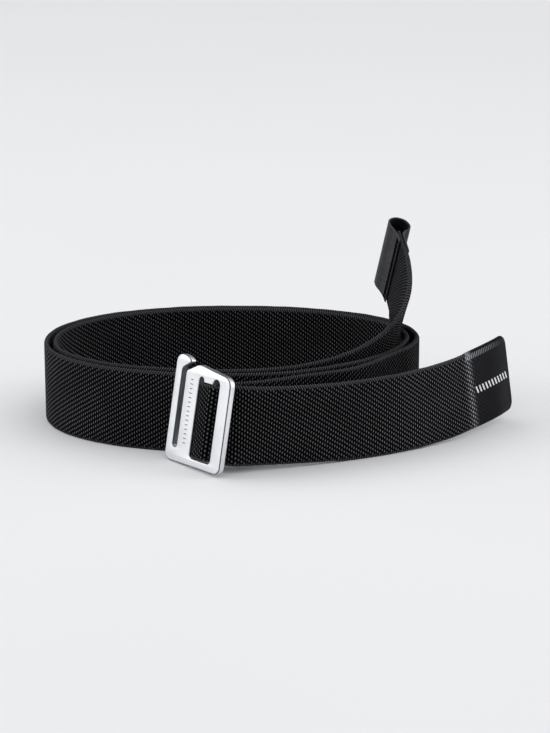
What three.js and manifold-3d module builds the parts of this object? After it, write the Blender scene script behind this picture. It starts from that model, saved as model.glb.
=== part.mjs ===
// Elastic webbing belt, standing coiled on its edge, with a flat hook buckle, a sewn loop tab and a coated tip.
// Millimetres, +Z up. The web lies in a double coil; its free end runs out to the right of the buckle,
// and its tail climbs out of the coil to the loop tab.
import * as THREE from "three";
import { mergeVertices } from "three/addons/utils/BufferGeometryUtils.js";
import Module from "manifold-3d";

const wasm = await Module();
wasm.setup();

// ---- Driving dimensions ----
const WEB_WIDTH = 38;
const WEB_THICKNESS = 2.2;
const SLOT_WIDTH_OF_WEB = 35; // the web is squeezed between the ends of the buckle's slots
const SEWN_THICKNESS = 1.6; // the web under the loop tab's stitching
const EDGE_BEVEL = 0.5;
const CLEARANCE = 0.3;
const STEP = 5; // spacing of the web's sections along its length
const FINE_STEP = 1.2; // the same where the web turns round the buckle's bar

const FLOOR_MIDDLE = new THREE.Vector3(21.7, -3.7, 0); // the middle of the footprint, from the coil's middle

// The coil is an oval of four quarters, each with its own middle, depth and fullness.
const LEFT_REACH = 89.9;
const RIGHT_REACH = 88.7;
const QUARTERS = [
  { side: -1, end: -1, middle: 14.5, depth: 61, fullness: 2.15 }, // front to left bend
  { side: -1, end: 1, middle: 14.5, depth: 62.3, fullness: 2.15 }, // left bend to far side
  { side: 1, end: 1, middle: 22, depth: 54.8, fullness: 2.05 }, // far side to right bend
  { side: 1, end: -1, middle: 22, depth: 69.3, fullness: 1.82 }, // right bend to front
];
// How far the web lies inside the outer oval at the start of each quarter of the first turn.
const FIRST_TURN_INSET = [6.8, 4.2, 4.4, 4.8, 0];
const KNOTS_PER_QUARTER = 5;

// Buckle plate, in its own plane: u to the right, v up, both from its lower left corner.
const PLATE_WIDTH = 40;
const PLATE_THICKNESS = 3.1;
const PLATE_BEVEL = 0.55;
const BAR_LEFT = 21.1;
const BAR_RIGHT = 27.4;
const BAR_THICKNESS = 1.5;
const BAR_ROUNDING = 0.7;
const SLOTS_BOTTOM = 3.5;
const SLOTS_TOP = 39.5;
// The plate leans on its lower right corner, turned away from the coil.
const PLATE_CORNER = new THREE.Vector3(-5.5, -86, 1.65);
const PLATE_TURN = -50.3; // degrees
const PLATE_RISE = -1.8;
const PLATE_LEAN = -11.7;

// Loop tab, in the plane across the web's width: a along the web's end, b out of the tab's front.
const TAB_THICKNESS = 0.7;
const TAB_WIDTH = WEB_WIDTH;
const BACK_LEG_EASE = 0.15; // the web curves away from the tab's back leg
const STITCH_PITCH = 2.8;
const STITCH_COUNT = 13;
const STITCH_ROWS = [1.6, 3.6]; // from the tab's front edge
const STITCH_RISE = 0.2;
const THREAD_RADIUS = 0.25;
const SEWN_LENGTH = 8.6; // from the tab's front edge to the web's end

// Coated tip
const FILM_LENGTH = 33;
const FILM_WALL = 0.35;
const FILM_THICKNESS = 2.4;
const TIP_CORNER = 3.2;

// Gaps left in the web where it flexes
const FLEX_GAP = 1.2;
const BUCKLE_FLEX_GAP = 1.8;

// ---- Small helpers ----
const COLOURS = {
  web: { color: 0x17171a, roughness: 0.85, metalness: 0 },
  coated: { color: 0x26262a, roughness: 0.55, metalness: 0 },
  film: { color: 0x0e0f18, roughness: 0.3, metalness: 0 },
  thread: { color: 0x0c0c0e, roughness: 0.6, metalness: 0 },
  steel: { color: 0xc9cbd0, roughness: 0.28, metalness: 1 },
};

const part = new THREE.Group();

function addNode(name, geometry, look) {
  const mesh = new THREE.Mesh(geometry, new THREE.MeshStandardMaterial(COLOURS[look]));
  mesh.name = name;
  mesh.position.copy(FLOOR_MIDDLE).negate();
  part.add(mesh);
  return mesh;
}

function toSolid(geometry) {
  const bare = geometry.clone();
  bare.deleteAttribute("normal");
  bare.deleteAttribute("uv");
  const merged = mergeVertices(bare, 1e-4);
  return new wasm.Manifold(new wasm.Mesh({
    numProp: 3,
    vertProperties: new Float32Array(merged.attributes.position.array),
    triVerts: new Uint32Array(merged.index.array),
  }));
}

function toGeometry(solid) {
  const mesh = solid.getMesh();
  const geometry = new THREE.BufferGeometry();
  geometry.setAttribute("position", new THREE.BufferAttribute(mesh.vertProperties, 3));
  geometry.setIndex(new THREE.BufferAttribute(mesh.triVerts, 1));
  return geometry;
}

const smooth = (t) => t * t * (3 - 2 * t);
const clamp01 = (t) => Math.min(1, Math.max(0, t));
const degrees = THREE.MathUtils.degToRad;

// ---- Buckle frame ----
const plateFrame = new THREE.Matrix4().makeRotationFromEuler(
  new THREE.Euler(degrees(PLATE_LEAN), degrees(PLATE_RISE), degrees(PLATE_TURN), "ZYX"),
);
const plateRight = new THREE.Vector3().setFromMatrixColumn(plateFrame, 0);
const plateBack = new THREE.Vector3().setFromMatrixColumn(plateFrame, 1);
const plateUp = new THREE.Vector3().setFromMatrixColumn(plateFrame, 2);

function onPlate(u, back, v) {
  return PLATE_CORNER.clone()
    .addScaledVector(plateRight, u - PLATE_WIDTH)
    .addScaledVector(plateBack, back)
    .addScaledVector(plateUp, v);
}

// ---- Route of the web ----
// A knot is the middle of the web, how far its top edge leans along X and Y for each unit of height, and
// its width there.
function knot(x, y, z = WEB_WIDTH / 2, leanX = 0, leanY = 0, width = WEB_WIDTH) {
  return { at: new THREE.Vector3(x, y, z), lean: new THREE.Vector3(leanX, leanY, width) };
}

function onOval(quarter, share, inset) {
  const q = QUARTERS[quarter];
  const reach = (q.side < 0 ? LEFT_REACH : RIGHT_REACH) - inset;
  const angle = (quarter % 2 === 0 ? share : 1 - share) * Math.PI / 2;
  const across = Math.sin(angle) ** (2 / q.fullness);
  const along = Math.cos(angle) ** (2 / q.fullness);
  return knot(q.side * reach * across, q.middle + q.end * (q.depth - inset) * along);
}

function firstTurn() {
  const knots = [];
  for (let quarter = 0; quarter < 4; quarter++) {
    for (let i = 0; i < KNOTS_PER_QUARTER; i++) {
      const share = i / KNOTS_PER_QUARTER;
      const inset = THREE.MathUtils.lerp(
        FIRST_TURN_INSET[quarter], FIRST_TURN_INSET[quarter + 1], smooth(share));
      knots.push(onOval(quarter, share, inset));
    }
  }
  return knots;
}

function secondTurn() {
  const knots = [];
  for (let quarter = 0; quarter < 3; quarter++) {
    for (let i = 0; i < KNOTS_PER_QUARTER; i++) {
      knots.push(onOval(quarter, i / KNOTS_PER_QUARTER, 0));
    }
  }
  knots.push(onOval(3, 0, 0));
  return knots;
}

// The tail, from the web's sewn end down into the coil.
const TAIL = [
  knot(77.5, 52.5, 66.7, 0.18, -0.41),
  knot(79, 44.8, 63.3, 0.18, -0.41),
  knot(80.5, 32.5, 58, 0.2, -0.45),
  knot(80.2, 16.2, 48.3, 0.16, -0.72),
  knot(75.4, 1.4, 34.8, -0.1, -0.64),
  knot(65, -9.6, 27.3, -0.04, -0.37),
  knot(52.6, -20.4, 23.2, -0.03, -0.27),
  knot(36.6, -29.6, 20.5, -0.03, -0.17),
  knot(19, -36.4, 19.3, 0, -0.07),
];

// From the right bend to the back of the buckle's left slot.
const TO_BUCKLE = [
  knot(87.8, 14),
  knot(83.5, 2),
  knot(78, -6),
  knot(64.5, -26.5),
  knot(54.5, -36.8, 19.1, 0, 0, 37.8),
  knot(31.5, -52.3, 20.2, 0.05, 0.06, 37.4),
  knot(9, -65.4, 21.3, 0.1, 0.13, 36.4),
  knot(-2.5, -66.2, 21.3, 0.13, 0.168, SLOT_WIDTH_OF_WEB),
];

// Round the buckle's middle bar, from the left slot over the bar's front to the right slot.
const FOLD_RADIUS = BAR_ROUNDING + CLEARANCE + WEB_THICKNESS / 2;
const FOLD_HEIGHT = (SLOTS_BOTTOM + SLOTS_TOP) / 2 - 0.1;
const FOLD_BACK = PLATE_THICKNESS - BAR_THICKNESS + BAR_ROUNDING;

function foldKnot(u, back) {
  const made = knot(0, 0, 0, plateUp.x / plateUp.z, plateUp.y / plateUp.z, SLOT_WIDTH_OF_WEB);
  made.at.copy(onPlate(u, back, FOLD_HEIGHT));
  return made;
}

function foldRoundBar() {
  const knots = [foldKnot(BAR_LEFT + BAR_ROUNDING - FOLD_RADIUS, 4.4)];
  for (const [corner, from] of [[BAR_LEFT + BAR_ROUNDING, 180], [BAR_RIGHT - BAR_ROUNDING, 270]]) {
    for (let i = 0; i <= 3; i++) {
      const angle = degrees(from + 30 * i);
      knots.push(foldKnot(
        corner + FOLD_RADIUS * Math.cos(angle), FOLD_BACK + FOLD_RADIUS * Math.sin(angle)));
    }
  }
  knots.push(foldKnot(BAR_RIGHT - BAR_ROUNDING + FOLD_RADIUS + 0.9, 3.9));
  return knots;
}

// The free end, from behind the buckle's right bar to the coated tip.
const FREE_END = [
  knot(-2.4, -72.7, 21.5, 0.13, 0.168, 36.6),
  knot(3.2, -75.1, 21.6, 0.12, 0.1, 37),
  knot(14, -73.6, 21.2, 0.1, -0.03, 37.4),
  knot(27, -70, 20.6, 0.09, -0.06, 37.8),
  knot(53, -59.5, 19.3, 0.03, -0.03),
  knot(78, -46, 19.1),
  knot(101, -28.5, 20.1, -0.03, 0.03),
  knot(116, -13.5, 22.2, -0.07, 0.07),
  knot(125, -3, 23.5, -0.08, 0.09),
  knot(131.3, 6.3, 24.2, -0.08, 0.09),
];

const before = [...TAIL, ...firstTurn(), ...secondTurn(), ...TO_BUCKLE];
const fold = foldRoundBar();
const ROUTE = [...before, ...fold, ...FREE_END];
const centreLine = new THREE.CatmullRomCurve3(ROUTE.map((k) => k.at), false, "centripetal");
const leanLine = new THREE.CatmullRomCurve3(ROUTE.map((k) => k.lean), false, "centripetal");

// Lengths along the route, in fine steps of the curve's own parameter.
const SAMPLES = 6000;
const measured = [0];
for (let i = 1, last = centreLine.getPoint(0); i <= SAMPLES; i++) {
  const next = centreLine.getPoint(i / SAMPLES);
  measured.push(measured[i - 1] + next.distanceTo(last));
  last = next;
}
const WEB_LENGTH = measured[SAMPLES];

function parameterAt(length) {
  let low = 0;
  let high = SAMPLES;
  while (high - low > 1) {
    const middle = (low + high) >> 1;
    if (measured[middle] <= length) {
      low = middle;
    } else {
      high = middle;
    }
  }
  return (low + (length - measured[low]) / (measured[high] - measured[low])) / SAMPLES;
}

const lengthAtKnot = (index) => measured[Math.round(SAMPLES * index / (ROUTE.length - 1))];

function webAt(length) {
  const t = parameterAt(length);
  const along = centreLine.getTangent(t);
  const lean = leanLine.getPoint(t);
  const up = new THREE.Vector3(lean.x, lean.y, 1);
  up.addScaledVector(along, -up.dot(along)).normalize();
  return { at: centreLine.getPoint(t), along, up, out: up.clone().cross(along), width: lean.z };
}

// ---- Web solids ----
// A closed band of bevelled sections between two lengths of the route.
function band(from, to, step, widthAt, thicknessAt) {
  const count = Math.ceil((to - from) / step);
  const positions = [];
  for (let i = 0; i <= count; i++) {
    const length = from + (to - from) * i / count;
    const place = webAt(length);
    const half = widthAt(length, place.width) / 2;
    const thick = thicknessAt(length) / 2;
    const bevel = Math.min(EDGE_BEVEL, thick * 0.6);
    const corners = [
      [half, thick - bevel], [half - bevel, thick], [bevel - half, thick], [-half, thick - bevel],
      [-half, bevel - thick], [bevel - half, -thick], [half - bevel, -thick], [half, bevel - thick],
    ];
    for (const [up, out] of corners) {
      const point = place.at.clone().addScaledVector(place.up, up).addScaledVector(place.out, out);
      positions.push(point.x, point.y, point.z);
    }
  }
  return closedBand(positions, count);
}

function closedBand(positions, count) {
  const sides = 8;
  const index = [];
  for (let i = 0; i < count; i++) {
    for (let j = 0; j < sides; j++) {
      const a = i * sides + j;
      const b = i * sides + (j + 1) % sides;
      index.push(a, a + sides, b, b, a + sides, b + sides);
    }
  }
  for (let j = 1; j < sides - 1; j++) {
    const end = count * sides;
    index.push(0, j, j + 1, end, end + j + 1, end + j);
  }
  const geometry = new THREE.BufferGeometry();
  geometry.setAttribute("position", new THREE.Float32BufferAttribute(positions, 3));
  geometry.setIndex(index);
  return geometry;
}

const ownWidth = (length, width) => width;
const ownThickness = () => WEB_THICKNESS;

const tailFlex = lengthAtKnot(4);
const buckleFlex = lengthAtKnot(before.length - 1);
const freeEndFlex = lengthAtKnot(before.length + fold.length + 2);
const filmStart = WEB_LENGTH - FILM_LENGTH;

function addWeb() {
  const sewnThickness = (length) => THREE.MathUtils.lerp(
    SEWN_THICKNESS, WEB_THICKNESS, clamp01((length - SEWN_LENGTH - 8) / 6));
  addNode("webbing_tail",
    band(0, tailFlex - FLEX_GAP / 2, STEP / 2, ownWidth, sewnThickness), "web");
  addNode("webbing_coil",
    band(tailFlex + FLEX_GAP / 2, buckleFlex - BUCKLE_FLEX_GAP / 2, STEP, ownWidth, ownThickness), "web");
  addNode("webbing_fold",
    band(buckleFlex + BUCKLE_FLEX_GAP / 2, freeEndFlex - FLEX_GAP / 2, FINE_STEP, ownWidth, ownThickness),
    "web");
  const coreThickness = (length) => THREE.MathUtils.lerp(
    WEB_THICKNESS, FILM_THICKNESS - 2 * (FILM_WALL + CLEARANCE), clamp01((length - filmStart + 3) / 3));
  const coreEnd = WEB_LENGTH - 2 * (FILM_WALL + CLEARANCE);
  const coreWidth = (length, width) =>
    tipWidth(width - 2 * (FILM_WALL + CLEARANCE) * clamp01((length - filmStart + 3) / 3), coreEnd - length);
  addNode("webbing_free_end",
    band(freeEndFlex + FLEX_GAP / 2, coreEnd, STEP / 2, coreWidth, coreThickness), "web");
}

// The web's width near its end, where its corners are rounded.
function tipWidth(width, left) {
  const reach = Math.max(TIP_CORNER - Math.max(left, 0), 0);
  return width - 2 * (TIP_CORNER - Math.sqrt(Math.max(TIP_CORNER ** 2 - reach ** 2, 0.02)));
}

function addTipFilm() {
  const outer = band(filmStart, WEB_LENGTH, 1.5,
    (length, width) => tipWidth(width, WEB_LENGTH - length), () => FILM_THICKNESS);
  const inner = band(filmStart - 2, WEB_LENGTH - FILM_WALL, 1.5,
    (length, width) => tipWidth(width - 2 * FILM_WALL, WEB_LENGTH - FILM_WALL - length),
    () => FILM_THICKNESS - 2 * FILM_WALL);
  addNode("tip_film", toGeometry(toSolid(outer).subtract(toSolid(inner))), "film");
}

// ---- Buckle ----
function plateOutline() {
  const shape = new THREE.Shape();
  shape.moveTo(4, 0);
  shape.lineTo(36.5, 0);
  shape.absarc(36.5, 3.5, 3.5, -Math.PI / 2, 0, false);
  shape.lineTo(40, 39.4);
  shape.bezierCurveTo(40, 42.2, 38.6, 43.8, 35.8, 44.3); // upper right corner
  shape.lineTo(19.2, 46.3);
  shape.quadraticCurveTo(16.9, 46.7, 14.8, 45.7); // crest
  shape.lineTo(8.9, 42.8);
  shape.quadraticCurveTo(7.9, 42.3, 7.9, 41);
  shape.lineTo(7.9, 8);
  shape.absarc(6.35, 8, 1.55, 0, -Math.PI, true); // foot of the hook's slot
  shape.lineTo(4.8, 41.6);
  shape.quadraticCurveTo(4.8, 42.9, 5.7, 43.5);
  shape.lineTo(9.7, 45.9);
  shape.quadraticCurveTo(11, 46.7, 9.8, 47.7); // hook's point
  shape.quadraticCurveTo(7.6, 49.2, 4.1, 49.2);
  shape.absarc(4.1, 45.1, 4.1, Math.PI / 2, Math.PI, false);
  shape.lineTo(0, 4);
  shape.absarc(4, 4, 4, Math.PI, Math.PI * 1.5, false);
  return shape;
}

// The opening round both web slots, with the root of the middle bar between its two upper lobes.
function slotOutline() {
  const hole = new THREE.Path();
  const lobe = { left: 17.6, leftRadius: 1.75, rightRadius: 2.65, right: 32.7 };
  hole.moveTo(19.6, SLOTS_BOTTOM);
  hole.lineTo(lobe.right - 2, SLOTS_BOTTOM);
  hole.absarc(lobe.right - 2, SLOTS_BOTTOM + 2, 2, -Math.PI / 2, 0, false);
  hole.lineTo(lobe.right, SLOTS_TOP - 0.5);
  hole.absarc(lobe.right - lobe.rightRadius, SLOTS_TOP - 0.5, lobe.rightRadius, 0, Math.PI, false);
  hole.lineTo(lobe.left + 2 * lobe.leftRadius, SLOTS_TOP - 0.5);
  hole.absarc(lobe.left + lobe.leftRadius, SLOTS_TOP + 0.1, lobe.leftRadius, 0, Math.PI, false);
  hole.lineTo(lobe.left, SLOTS_BOTTOM + 2);
  hole.absarc(lobe.left + 2, SLOTS_BOTTOM + 2, 2, Math.PI, Math.PI * 1.5, false);
  return hole;
}

function middleBar() {
  const section = new THREE.Shape();
  const [left, right, deep, r] = [BAR_LEFT, BAR_RIGHT, BAR_THICKNESS, BAR_ROUNDING];
  section.absarc(left + r, r, r, Math.PI, Math.PI * 1.5, false);
  section.absarc(right - r, r, r, Math.PI * 1.5, Math.PI * 2, false);
  section.absarc(right - r, deep - r, r, 0, Math.PI / 2, false);
  section.absarc(left + r, deep - r, r, Math.PI / 2, Math.PI, false);
  const rooted = 1.5;
  const height = SLOTS_TOP - SLOTS_BOTTOM + 2 * rooted;
  const bar = new THREE.ExtrudeGeometry(section, { depth: height, bevelEnabled: false, curveSegments: 4 });
  // From the section's plane to u, back and v of the plate, flush with the plate's back.
  bar.applyMatrix4(new THREE.Matrix4().makeTranslation(0, PLATE_THICKNESS - deep, SLOTS_BOTTOM - rooted));
  return bar;
}

function addBuckle() {
  const outline = plateOutline();
  outline.holes.push(slotOutline());
  const plate = new THREE.ExtrudeGeometry(outline, {
    depth: PLATE_THICKNESS - 2 * PLATE_BEVEL,
    bevelThickness: PLATE_BEVEL,
    bevelSize: PLATE_BEVEL,
    bevelOffset: -PLATE_BEVEL,
    bevelSegments: 2,
    curveSegments: 6,
  });
  // The extrusion's plane is u and v; its depth runs towards the plate's front.
  plate.translate(0, 0, PLATE_BEVEL - PLATE_THICKNESS);
  plate.rotateX(Math.PI / 2);
  const solid = toSolid(plate).add(toSolid(middleBar()));
  const geometry = toGeometry(solid);
  const place = plateFrame.clone().setPosition(onPlate(0, 0, 0));
  geometry.applyMatrix4(place);
  addNode("buckle_plate", geometry, "steel");
}

// ---- Loop tab ----
const tabPlace = webAt(SEWN_LENGTH);
const tabFrame = new THREE.Matrix4().makeBasis(
  tabPlace.along.clone().negate(), // a: on past the web's end
  tabPlace.out.clone().negate(), // b: out of the tab's front, towards the coil's middle
  tabPlace.up,
).setPosition(tabPlace.at);

function tabSection() {
  const leg = SEWN_THICKNESS / 2 + CLEARANCE + TAB_THICKNESS / 2;
  const back = leg + BACK_LEG_EASE;
  const middle = new THREE.SplineCurve([
    [0, leg], [4.5, leg], [9, 2.3], [14, 3.7], [18, 3.1], [19.8, -0.4], [18.2, -4.4], [14, -6.3],
    [10.6, -5.2], [8.9, -2.9], [6.6, -back], [3, -back], [-2, -back], [-7.5, -back],
  ].map(([a, b]) => new THREE.Vector2(a, b)));
  const steps = 44;
  const outer = [];
  const inner = [];
  for (let i = 0; i <= steps; i++) {
    const point = middle.getPoint(i / steps);
    const along = middle.getTangent(i / steps);
    const across = new THREE.Vector2(-along.y, along.x).multiplyScalar(TAB_THICKNESS / 2);
    outer.push(point.clone().add(across));
    inner.push(point.clone().sub(across));
  }
  return new THREE.Shape([...outer, ...inner.reverse()]);
}

function addLoopTab() {
  const tab = new THREE.ExtrudeGeometry(tabSection(), { depth: TAB_WIDTH, bevelEnabled: false });
  tab.translate(0, 0, -TAB_WIDTH / 2);
  tab.applyMatrix4(tabFrame);
  addNode("loop_tab", tab, "coated");
}

// A row of stitches: one thread that rises over each stitch and dips at each needle hole.
function stitchThread(along, side) {
  const face = SEWN_THICKNESS / 2 + CLEARANCE + TAB_THICKNESS + (side < 0 ? BACK_LEG_EASE : 0);
  const low = face + CLEARANCE + THREAD_RADIUS;
  const points = [];
  const perStitch = 4;
  for (let i = 0; i <= STITCH_COUNT * perStitch; i++) {
    const share = i / perStitch;
    const rise = STITCH_RISE * Math.abs(Math.sin(Math.PI * share));
    const across = (share - STITCH_COUNT / 2) * STITCH_PITCH;
    points.push(new THREE.Vector3(along, side * (low + rise), across).applyMatrix4(tabFrame));
  }
  const path = new THREE.CatmullRomCurve3(points);
  const section = new THREE.Shape();
  section.absarc(0, 0, THREAD_RADIUS, 0, Math.PI * 2, false);
  return new THREE.ExtrudeGeometry(section, {
    steps: STITCH_COUNT * perStitch, extrudePath: path, curveSegments: 3, bevelEnabled: false,
  });
}

function addThreads() {
  STITCH_ROWS.forEach((along, row) => {
    addNode(`needle_thread_${row + 1}`, stitchThread(along, 1), "thread");
    addNode(`bobbin_thread_${row + 1}`, stitchThread(along, -1), "thread");
  });
}

addWeb();
addTipFilm();
addBuckle();
addLoopTab();
addThreads();

export default part;
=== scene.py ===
import math

import bmesh
import bpy
import numpy as np
from mathutils import Matrix, Vector
from mathutils.geometry import tessellate_polygon


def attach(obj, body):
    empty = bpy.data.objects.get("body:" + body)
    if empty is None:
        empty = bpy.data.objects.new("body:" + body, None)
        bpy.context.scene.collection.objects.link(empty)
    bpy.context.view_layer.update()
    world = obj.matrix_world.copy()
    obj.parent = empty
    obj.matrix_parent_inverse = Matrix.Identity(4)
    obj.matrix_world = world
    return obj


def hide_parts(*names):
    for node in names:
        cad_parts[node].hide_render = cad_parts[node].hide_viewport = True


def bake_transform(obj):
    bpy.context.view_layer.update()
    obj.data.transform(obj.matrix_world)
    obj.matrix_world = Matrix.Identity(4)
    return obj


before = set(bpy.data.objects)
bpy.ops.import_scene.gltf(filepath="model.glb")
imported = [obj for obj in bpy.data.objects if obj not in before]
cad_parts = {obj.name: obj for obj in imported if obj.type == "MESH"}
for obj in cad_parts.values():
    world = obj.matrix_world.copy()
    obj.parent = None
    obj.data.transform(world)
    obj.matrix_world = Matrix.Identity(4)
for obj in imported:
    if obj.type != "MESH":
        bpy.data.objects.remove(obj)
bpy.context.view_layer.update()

# An elastic webbing belt stands coiled on its edge. Its pieces follow one route, in millimetres from the
# coil's middle; everything is turned into the frame's metres as each mesh is made.

MM = 0.001
FLOOR_MIDDLE = np.array([21.7, -3.7, 0.0])

# ---- Camera, first ----
CAMERA_TARGET = np.array([20.0, 0.0, 28.0])
CAMERA_DISTANCE = 1200.0
CAMERA_ELEVATION = math.radians(16)
CAMERA_LENS = 164.55


def to_frame(point):
    """A point of the route, in millimetres, as metres in the row frame."""
    return Vector((np.asarray(point, float) - FLOOR_MIDDLE) * MM)


def add_camera():
    data = bpy.data.cameras.new("camera")
    data.sensor_fit = "HORIZONTAL"
    data.sensor_width = 36
    data.lens = CAMERA_LENS
    data.clip_end = 50
    camera = bpy.data.objects.new("camera", data)
    bpy.context.scene.collection.objects.link(camera)
    back = np.array([0, -math.cos(CAMERA_ELEVATION), math.sin(CAMERA_ELEVATION)])
    camera.location = to_frame(CAMERA_TARGET + CAMERA_DISTANCE * back)
    camera.rotation_euler = (math.pi / 2 - CAMERA_ELEVATION, 0, 0)
    bpy.context.scene.camera = camera


add_camera()

# ---- Route of the web ----
WEB_WIDTH = 38.0
WEB_THICKNESS = 2.3
SLOT_WIDTH_OF_WEB = 35.0
LEFT_REACH = 89.9
RIGHT_REACH = 88.7
# side, end, middle, depth, fullness of each quarter of the coil's oval
QUARTERS = [
    (-1, -1, 14.5, 61.0, 2.15),
    (-1, 1, 14.5, 62.3, 2.15),
    (1, 1, 22.0, 54.8, 2.05),
    (1, -1, 22.0, 69.3, 1.82),
]
FIRST_TURN_INSET = [6.8, 4.2, 4.4, 4.8, 0]  # of the inner turn, at each quarter's start and the last's end
KNOTS_PER_QUARTER = 5

# Buckle plate: its own u runs to the right, back away from its front face, and v up
PLATE_WIDTH = 40.0
PLATE_THICKNESS = 3.1
BAR_LEFT = 21.1
BAR_RIGHT = 27.4
BAR_THICKNESS = 1.5
BAR_ROUNDING = 0.7
SLOTS_BOTTOM = 3.5
SLOTS_TOP = 39.5
PLATE_CORNER = np.array([-5.5, -86.0, 1.65])
PLATE_TURN, PLATE_RISE, PLATE_LEAN = (math.radians(a) for a in (-50.3, -1.8, -11.7))

plate_turned = Matrix.Rotation(PLATE_TURN, 3, "Z") @ Matrix.Rotation(PLATE_RISE, 3, "Y")
plate_turned = plate_turned @ Matrix.Rotation(PLATE_LEAN, 3, "X")
PLATE_RIGHT, PLATE_BACK, PLATE_UP = (np.array(plate_turned.col[i]) for i in range(3))


def on_plate(u, back, v):
    """Place of a point given in the plate's own u, back and v."""
    return PLATE_CORNER + PLATE_RIGHT * (u - PLATE_WIDTH) + PLATE_BACK * back + PLATE_UP * v


def smooth(t):
    """0 below 0, 1 above 1, and a soft step between."""
    t = np.clip(t, 0, 1)
    return t * t * (3 - 2 * t)


def knot(x, y, z=WEB_WIDTH / 2, lean_x=0.0, lean_y=0.0, width=WEB_WIDTH):
    """A place on the route, with how far the web leans there for each mm up, and its width."""
    return (x, y, z), (lean_x, lean_y, width)


def on_oval(quarter, share, inset):
    """A knot a share of the way through a quarter of the coil's oval, moved in by inset."""
    side, end, middle, depth, fullness = QUARTERS[quarter]
    reach = (LEFT_REACH if side < 0 else RIGHT_REACH) - inset
    angle = (share if quarter % 2 == 0 else 1 - share) * math.pi / 2
    across = math.sin(angle) ** (2 / fullness)
    along = math.cos(angle) ** (2 / fullness)
    return knot(side * reach * across, middle + end * (depth - inset) * along)


def first_turn():
    knots = []
    for quarter in range(4):
        for i in range(KNOTS_PER_QUARTER):
            share = i / KNOTS_PER_QUARTER
            low, high = FIRST_TURN_INSET[quarter], FIRST_TURN_INSET[quarter + 1]
            knots.append(on_oval(quarter, share, low + (high - low) * smooth(share)))
    return knots


def second_turn():
    knots = [on_oval(q, i / KNOTS_PER_QUARTER, 0) for q in range(3) for i in range(KNOTS_PER_QUARTER)]
    return knots + [on_oval(3, 0, 0)]


TAIL = [
    knot(77.5, 52.5, 66.7, 0.18, -0.41),
    knot(79, 44.8, 63.3, 0.18, -0.41),
    knot(80.6, 32.5, 58, 0.22, -0.45),
    knot(80.4, 16.2, 48.3, 0.22, -0.72),
    knot(75.4, 1.4, 34.8, -0.1, -0.64),
    knot(65, -9.6, 27.3, -0.04, -0.37),
    knot(52.6, -20.4, 23.2, -0.03, -0.27),
    knot(36.6, -29.6, 20.5, -0.03, -0.17),
    knot(19, -36.4, 19.3, 0, -0.07),
]
TO_BUCKLE = [
    knot(87.8, 14),
    knot(83.5, 2),
    knot(78, -6),
    knot(64.5, -26.5),
    knot(54.5, -36.8, 19.1, 0, 0, 37.8),
    knot(31.5, -52.3, 20.2, 0.05, 0.06, 37.4),
    knot(9, -65.4, 21.3, 0.1, 0.13, 36.4),
    knot(-2.5, -66.2, 21.3, 0.13, 0.168, SLOT_WIDTH_OF_WEB),
]
FREE_END = [
    knot(-2.4, -72.7, 21.5, 0.13, 0.168, 36.6),
    knot(3.2, -75.1, 21.6, 0.12, 0.1, 37),
    knot(14, -73.6, 21.2, 0.1, -0.03, 37.4),
    knot(27, -70, 20.6, 0.09, -0.06, 37.8),
    knot(53, -59.5, 19.3, 0.03, -0.03),
    knot(78, -46, 19.1),
    knot(101, -28.5, 20, -0.03, 0.03, 37.7),
    knot(116, -13.5, 21.9, -0.07, 0.07, 37.3),
    knot(125, -3, 23.1, -0.085, 0.09, 37.1),
    knot(131.1, 6.3, 23.8, -0.085, 0.09, 37),
]
FOLD_GAP = 0.3
FOLD_HALF_THICKNESS = 1.1
FOLD_RADIUS = BAR_ROUNDING + FOLD_GAP + FOLD_HALF_THICKNESS
FOLD_HEIGHT = (SLOTS_BOTTOM + SLOTS_TOP) / 2 - 0.1
FOLD_BACK = PLATE_THICKNESS - BAR_THICKNESS + BAR_ROUNDING


def fold_knot(u, back):
    lean = PLATE_UP / PLATE_UP[2]
    return tuple(on_plate(u, back, FOLD_HEIGHT)), (lean[0], lean[1], SLOT_WIDTH_OF_WEB)


def fold_round_bar():
    """The web comes from behind the plate, crosses the middle bar's front and goes back behind."""
    knots = [fold_knot(BAR_LEFT + BAR_ROUNDING - FOLD_RADIUS, 4.4)]
    for corner, start in ((BAR_LEFT + BAR_ROUNDING, 180), (BAR_RIGHT - BAR_ROUNDING, 270)):
        for i in range(4):
            angle = math.radians(start + 30 * i)
            u = corner + FOLD_RADIUS * math.cos(angle)
            knots.append(fold_knot(u, FOLD_BACK + FOLD_RADIUS * math.sin(angle)))
    knots.append(fold_knot(BAR_RIGHT - BAR_ROUNDING + FOLD_RADIUS + 0.9, 3.9))
    return knots


BEFORE_FOLD = TAIL + first_turn() + second_turn() + TO_BUCKLE
FOLD = fold_round_bar()
ROUTE = BEFORE_FOLD + FOLD + FREE_END


def catmull_rom(points, t):
    """Centripetal Catmull-Rom through points, at the parameters t from 0 to 1."""
    points = np.array(points, float)
    last = len(points) - 1
    padded = np.vstack([2 * points[0] - points[1], points, 2 * points[-1] - points[-2]])
    place = np.clip(np.asarray(t, float), 0, 1) * last
    index = np.minimum(place.astype(int), last - 1)
    share = (place - index)[:, None]
    a, b, c, d = (padded[index + k] for k in range(4))
    gap = []
    for p, q in ((a, b), (b, c), (c, d)):
        gap.append(np.maximum(np.sum((q - p) ** 2, axis=1) ** 0.25, 1e-9)[:, None])
    gap[1] = np.where(gap[1] < 1e-4, 1.0, gap[1])
    gap[0] = np.where(gap[0] < 1e-4, gap[1], gap[0])
    gap[2] = np.where(gap[2] < 1e-4, gap[1], gap[2])
    g0, g1, g2 = gap
    m1 = ((b - a) / g0 - (c - a) / (g0 + g1) + (c - b) / g1) * g1
    m2 = ((c - b) / g1 - (d - b) / (g1 + g2) + (d - c) / g2) * g1
    return b + m1 * share + (3 * (c - b) - 2 * m1 - m2) * share**2 + (m1 + m2 + 2 * (b - c)) * share**3


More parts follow.
